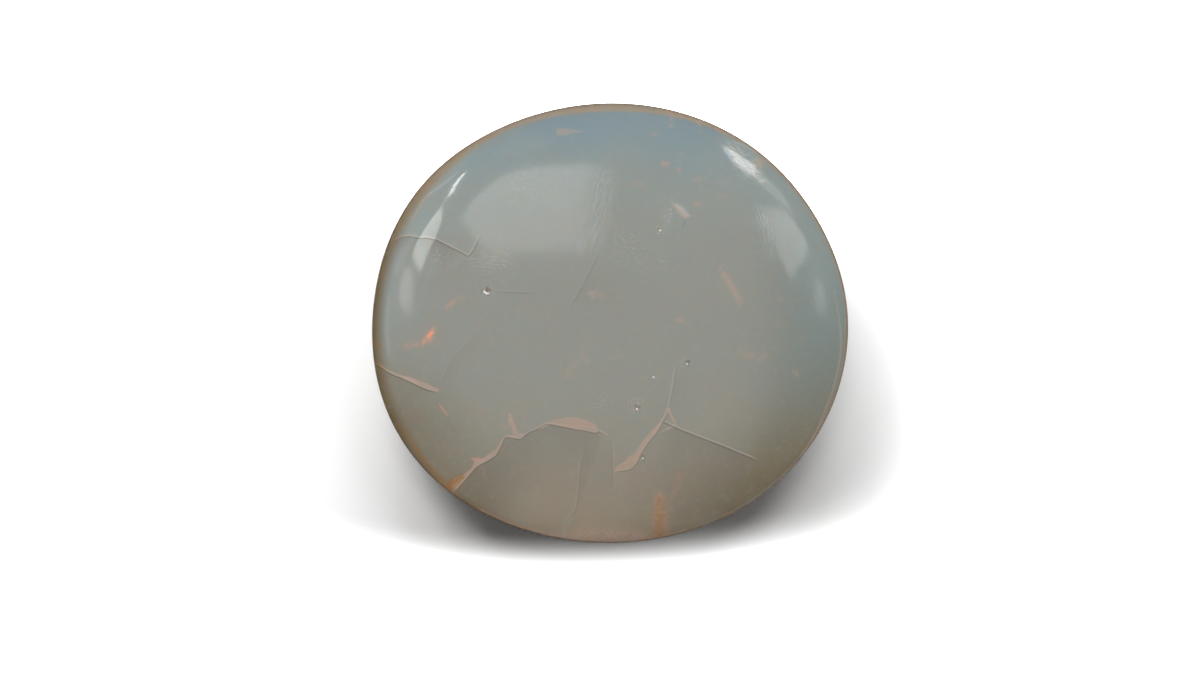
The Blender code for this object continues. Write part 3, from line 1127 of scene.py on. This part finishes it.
def add_room(stage):
    """Faint light from all round, more of it in reflections, and a white background."""
    world = bpy.data.worlds.new("studio")
    world.use_nodes = True
    tree = world.node_tree
    background = tree.nodes["Background"]
    background.inputs["Color"].default_value = stage.room
    path = add_node(tree, "ShaderNodeLightPath").outputs
    strength = ramp(tree, path["Is Glossy Ray"], 0.0, 1.0, stage.room_strength, stage.mirrored_strength)
    strength = figure(tree, "MAXIMUM", strength, path["Is Camera Ray"])
    feed(tree, background.inputs["Strength"], strength)
    bpy.context.scene.world = world


def add_camera(stage):
    """The camera, looking down on the stone."""
    place, _, _, _ = camera_axes()
    lens = bpy.data.cameras.new("camera")
    lens.lens = stage.lens
    lens.sensor_width = SENSOR
    lens.shift_x = SHIFT_X
    lens.shift_y = SHIFT_Y
    camera = bpy.data.objects.new("camera", lens)
    camera.location = place
    camera.rotation_euler = (math.pi / 2.0 - VIEW_ELEVATION, 0.0, 0.0)
    bpy.context.scene.collection.objects.link(camera)
    bpy.context.scene.camera = camera


def length_property(name, description, default):
    """A length in metres."""
    return bpy.props.FloatProperty(
        name=name, description=description, default=default, min=0.0, precision=5, unit="LENGTH"
    )


def amount_property(name, description, default, **limits):
    """A number from 0 up."""
    return bpy.props.FloatProperty(
        name=name, description=description, default=default, min=0.0, **limits
    )


def colour_property(name, description, default):
    """A colour."""
    return bpy.props.FloatVectorProperty(
        name=name, description=description, default=(*default, 1.0), size=4, min=0.0, max=1.0,
        subtype="COLOR",
    )


class StoneSettings(bpy.types.PropertyGroup):
    """The stone's form, colours and finish."""

    girdle_height: length_property("Girdle height", "Widest part above the table", GIRDLE_HEIGHT)
    dome_height: length_property("Dome height", "Top of the dome above the girdle", DOME_HEIGHT)
    belly_depth: length_property("Belly depth", "Depth of the whole belly below the girdle", BELLY_DEPTH)
    wave_height: length_property("Wave height", "Height of the slow waves of the polish", WAVE_HEIGHT)
    haze_depth: length_property("Haze depth", "How far light spreads in the milky stone", 0.0030)
    roughness: amount_property("Roughness", "Roughness of the polish", 0.06, max=1.0)
    clearness: amount_property("Clearness", "Share of the light that passes clear", 0.28, max=1.0)
    amber_density: amount_property("Amber density", "How strongly the inside tints light", 260.0)
    inner_amber: colour_property("Inner amber", "Tint of light inside the stone", (1.0, 0.62, 0.33))
    milk: colour_property("Milk", "Middle of the stone", (0.300, 0.304, 0.272))
    haze: colour_property("Haze", "Grey-blue of the upper half", (0.275, 0.330, 0.325))
    blue: colour_property("Blue", "Blue just inside the top rim", (0.215, 0.295, 0.335))
    teal: colour_property("Teal", "Grey-green of the right side", (0.178, 0.232, 0.220))
    warm: colour_property("Warm", "Brown towards the bottom", (0.330, 0.285, 0.218))
    # Painted shade near the lower corners of the rim
    olive_shade: colour_property("Olive", "Deep colour near the lower corners", (0.190, 0.165, 0.110))
    # Painted shade under the edges of the inner plates and painted light along them; the pale colour also
    # lightens the random mottling
    shade: colour_property("Shade", "Under the edges of the inner plates", (0.205, 0.185, 0.158))
    pale_light_and_mottle: colour_property("Pale", "Along the upper edges of the inner plates", (0.385, 0.400, 0.372))
    # The amber edge is partly painted light through the thin edge, and the umber is painted shade
    amber: colour_property("Amber", "The clear edge", (0.365, 0.305, 0.235))
    shaded_umber: colour_property("Umber", "The clear edge on the shaded side", (0.130, 0.086, 0.028))
    amber_edge: colour_property("Amber edge", "The very outside of the clear edge", (0.170, 0.105, 0.050))
    peach: colour_property("Peach", "Slanting cracks that shine through", (0.480, 0.355, 0.285))
    ember: colour_property("Ember", "Glowing streaks", (0.920, 0.350, 0.210))
    ochre: colour_property("Ochre", "Glow in the lower left rim", (0.330, 0.155, 0.042))
    # A painted highlight and a painted shade along each crack; the shade colour also paints shade in the
    # pits
    crack_highlight: colour_property("Crack light", "Bright side of a crack", (0.450, 0.425, 0.370))
    crack_shade: colour_property("Crack dark", "Dark side of a crack", (0.120, 0.095, 0.065))
    # Fine specks and scratches in the polish, and the painted sheen of the rubbed strokes
    dust_and_sheen: colour_property("Dust", "Fine specks in the polish", (0.600, 0.600, 0.560))
    # Pale lines near the rim, partly painted highlights and painted light
    pale_line_and_highlight: colour_property("Gleam", "Pale lines near the rim", (0.480, 0.510, 0.500))
    # White chipped stone in the pits, painted as glints
    chip_glint: colour_property("Chip", "White stone inside the pits", (0.950, 0.960, 0.950))


class StageSettings(bpy.types.PropertyGroup):
    """The floor, the room and the camera."""

    floor: colour_property("Floor", "Colour of the floor", (0.90, 0.90, 0.90))
    mirrored_floor: colour_property("Mirrored floor", "The floor as the polish mirrors it",
                                    (0.12, 0.10, 0.075))
    room: colour_property("Room", "Colour of the light from all round", (1.0, 1.0, 1.0))
    room_strength: amount_property("Room strength", "Strength of the light from all round", 0.03)
    mirrored_strength: amount_property("Mirrored strength", "The room as the polish mirrors it", 0.22)
    # Painted light on the floor round the painted shadow of the stone
    painted_floor_glow: amount_property("Floor glow", "Light from below round the stone", 2.5)
    lens: amount_property("Lens", "Focal length in millimetres", LENS)


class OPAL_OT_make_stone(bpy.types.Operator):
    """Makes the polished opal stone in place of its plain solid"""

    bl_idname = "opal.make_stone"
    bl_label = "Make stone"

    def execute(self, context):
        settings = context.scene.opal_stone
        mesh = opal_mesh(settings)
        mesh.materials.append(opal_material(settings))
        stone = bpy.data.objects.new("opal_stone", mesh)
        context.scene.collection.objects.link(stone)
        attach(stone, "root")
        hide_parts("opal")
        return {"FINISHED"}


class OPAL_OT_make_stage(bpy.types.Operator):
    """Makes the floor, the lights and the camera"""

    bl_idname = "opal.make_stage"
    bl_label = "Make stage"

    def execute(self, context):
        stage = context.scene.opal_stage
        add_floor(stage)
        add_room(stage)
        for mirrored in MIRRORED_LIGHTS:
            add_mirrored_light(mirrored)
        add_fills(STONE_FILLS, bpy.data.objects["opal_stone"])
        add_fills(FLOOR_FILLS, bpy.data.objects["floor"])
        add_camera(stage)
        context.scene.view_settings.view_transform = "Standard"
        return {"FINISHED"}


class OPAL_PT_panel(bpy.types.Panel):
    """The settings and the operators, in the sidebar of the 3D view"""

    bl_idname = "OPAL_PT_panel"
    bl_label = "Opal"
    bl_space_type = "VIEW_3D"
    bl_region_type = "UI"
    bl_category = "Opal"

    def draw(self, context):
        scene = context.scene
        for settings, operator in ((scene.opal_stone, OPAL_OT_make_stone),
                                   (scene.opal_stage, OPAL_OT_make_stage)):
            box = self.layout.box()
            for name in settings.__annotations__:
                box.prop(settings, name)
            box.operator(operator.bl_idname)


CLASSES = (StoneSettings, StageSettings, OPAL_OT_make_stone, OPAL_OT_make_stage, OPAL_PT_panel)


def register():
    """Adds the classes, and the settings of the stone and the stage to the scene."""
    for item in CLASSES:
        bpy.utils.register_class(item)
    bpy.types.Scene.opal_stone = bpy.props.PointerProperty(type=StoneSettings)
    bpy.types.Scene.opal_stage = bpy.props.PointerProperty(type=StageSettings)


def unregister():
    """Takes them away again."""
    del bpy.types.Scene.opal_stage
    del bpy.types.Scene.opal_stone
    for item in reversed(CLASSES):
        bpy.utils.unregister_class(item)


def main():
    """Makes everything in order."""
    register()
    bpy.ops.opal.make_stone()
    bpy.ops.opal.make_stage()


if __name__ == "__main__":
    main()
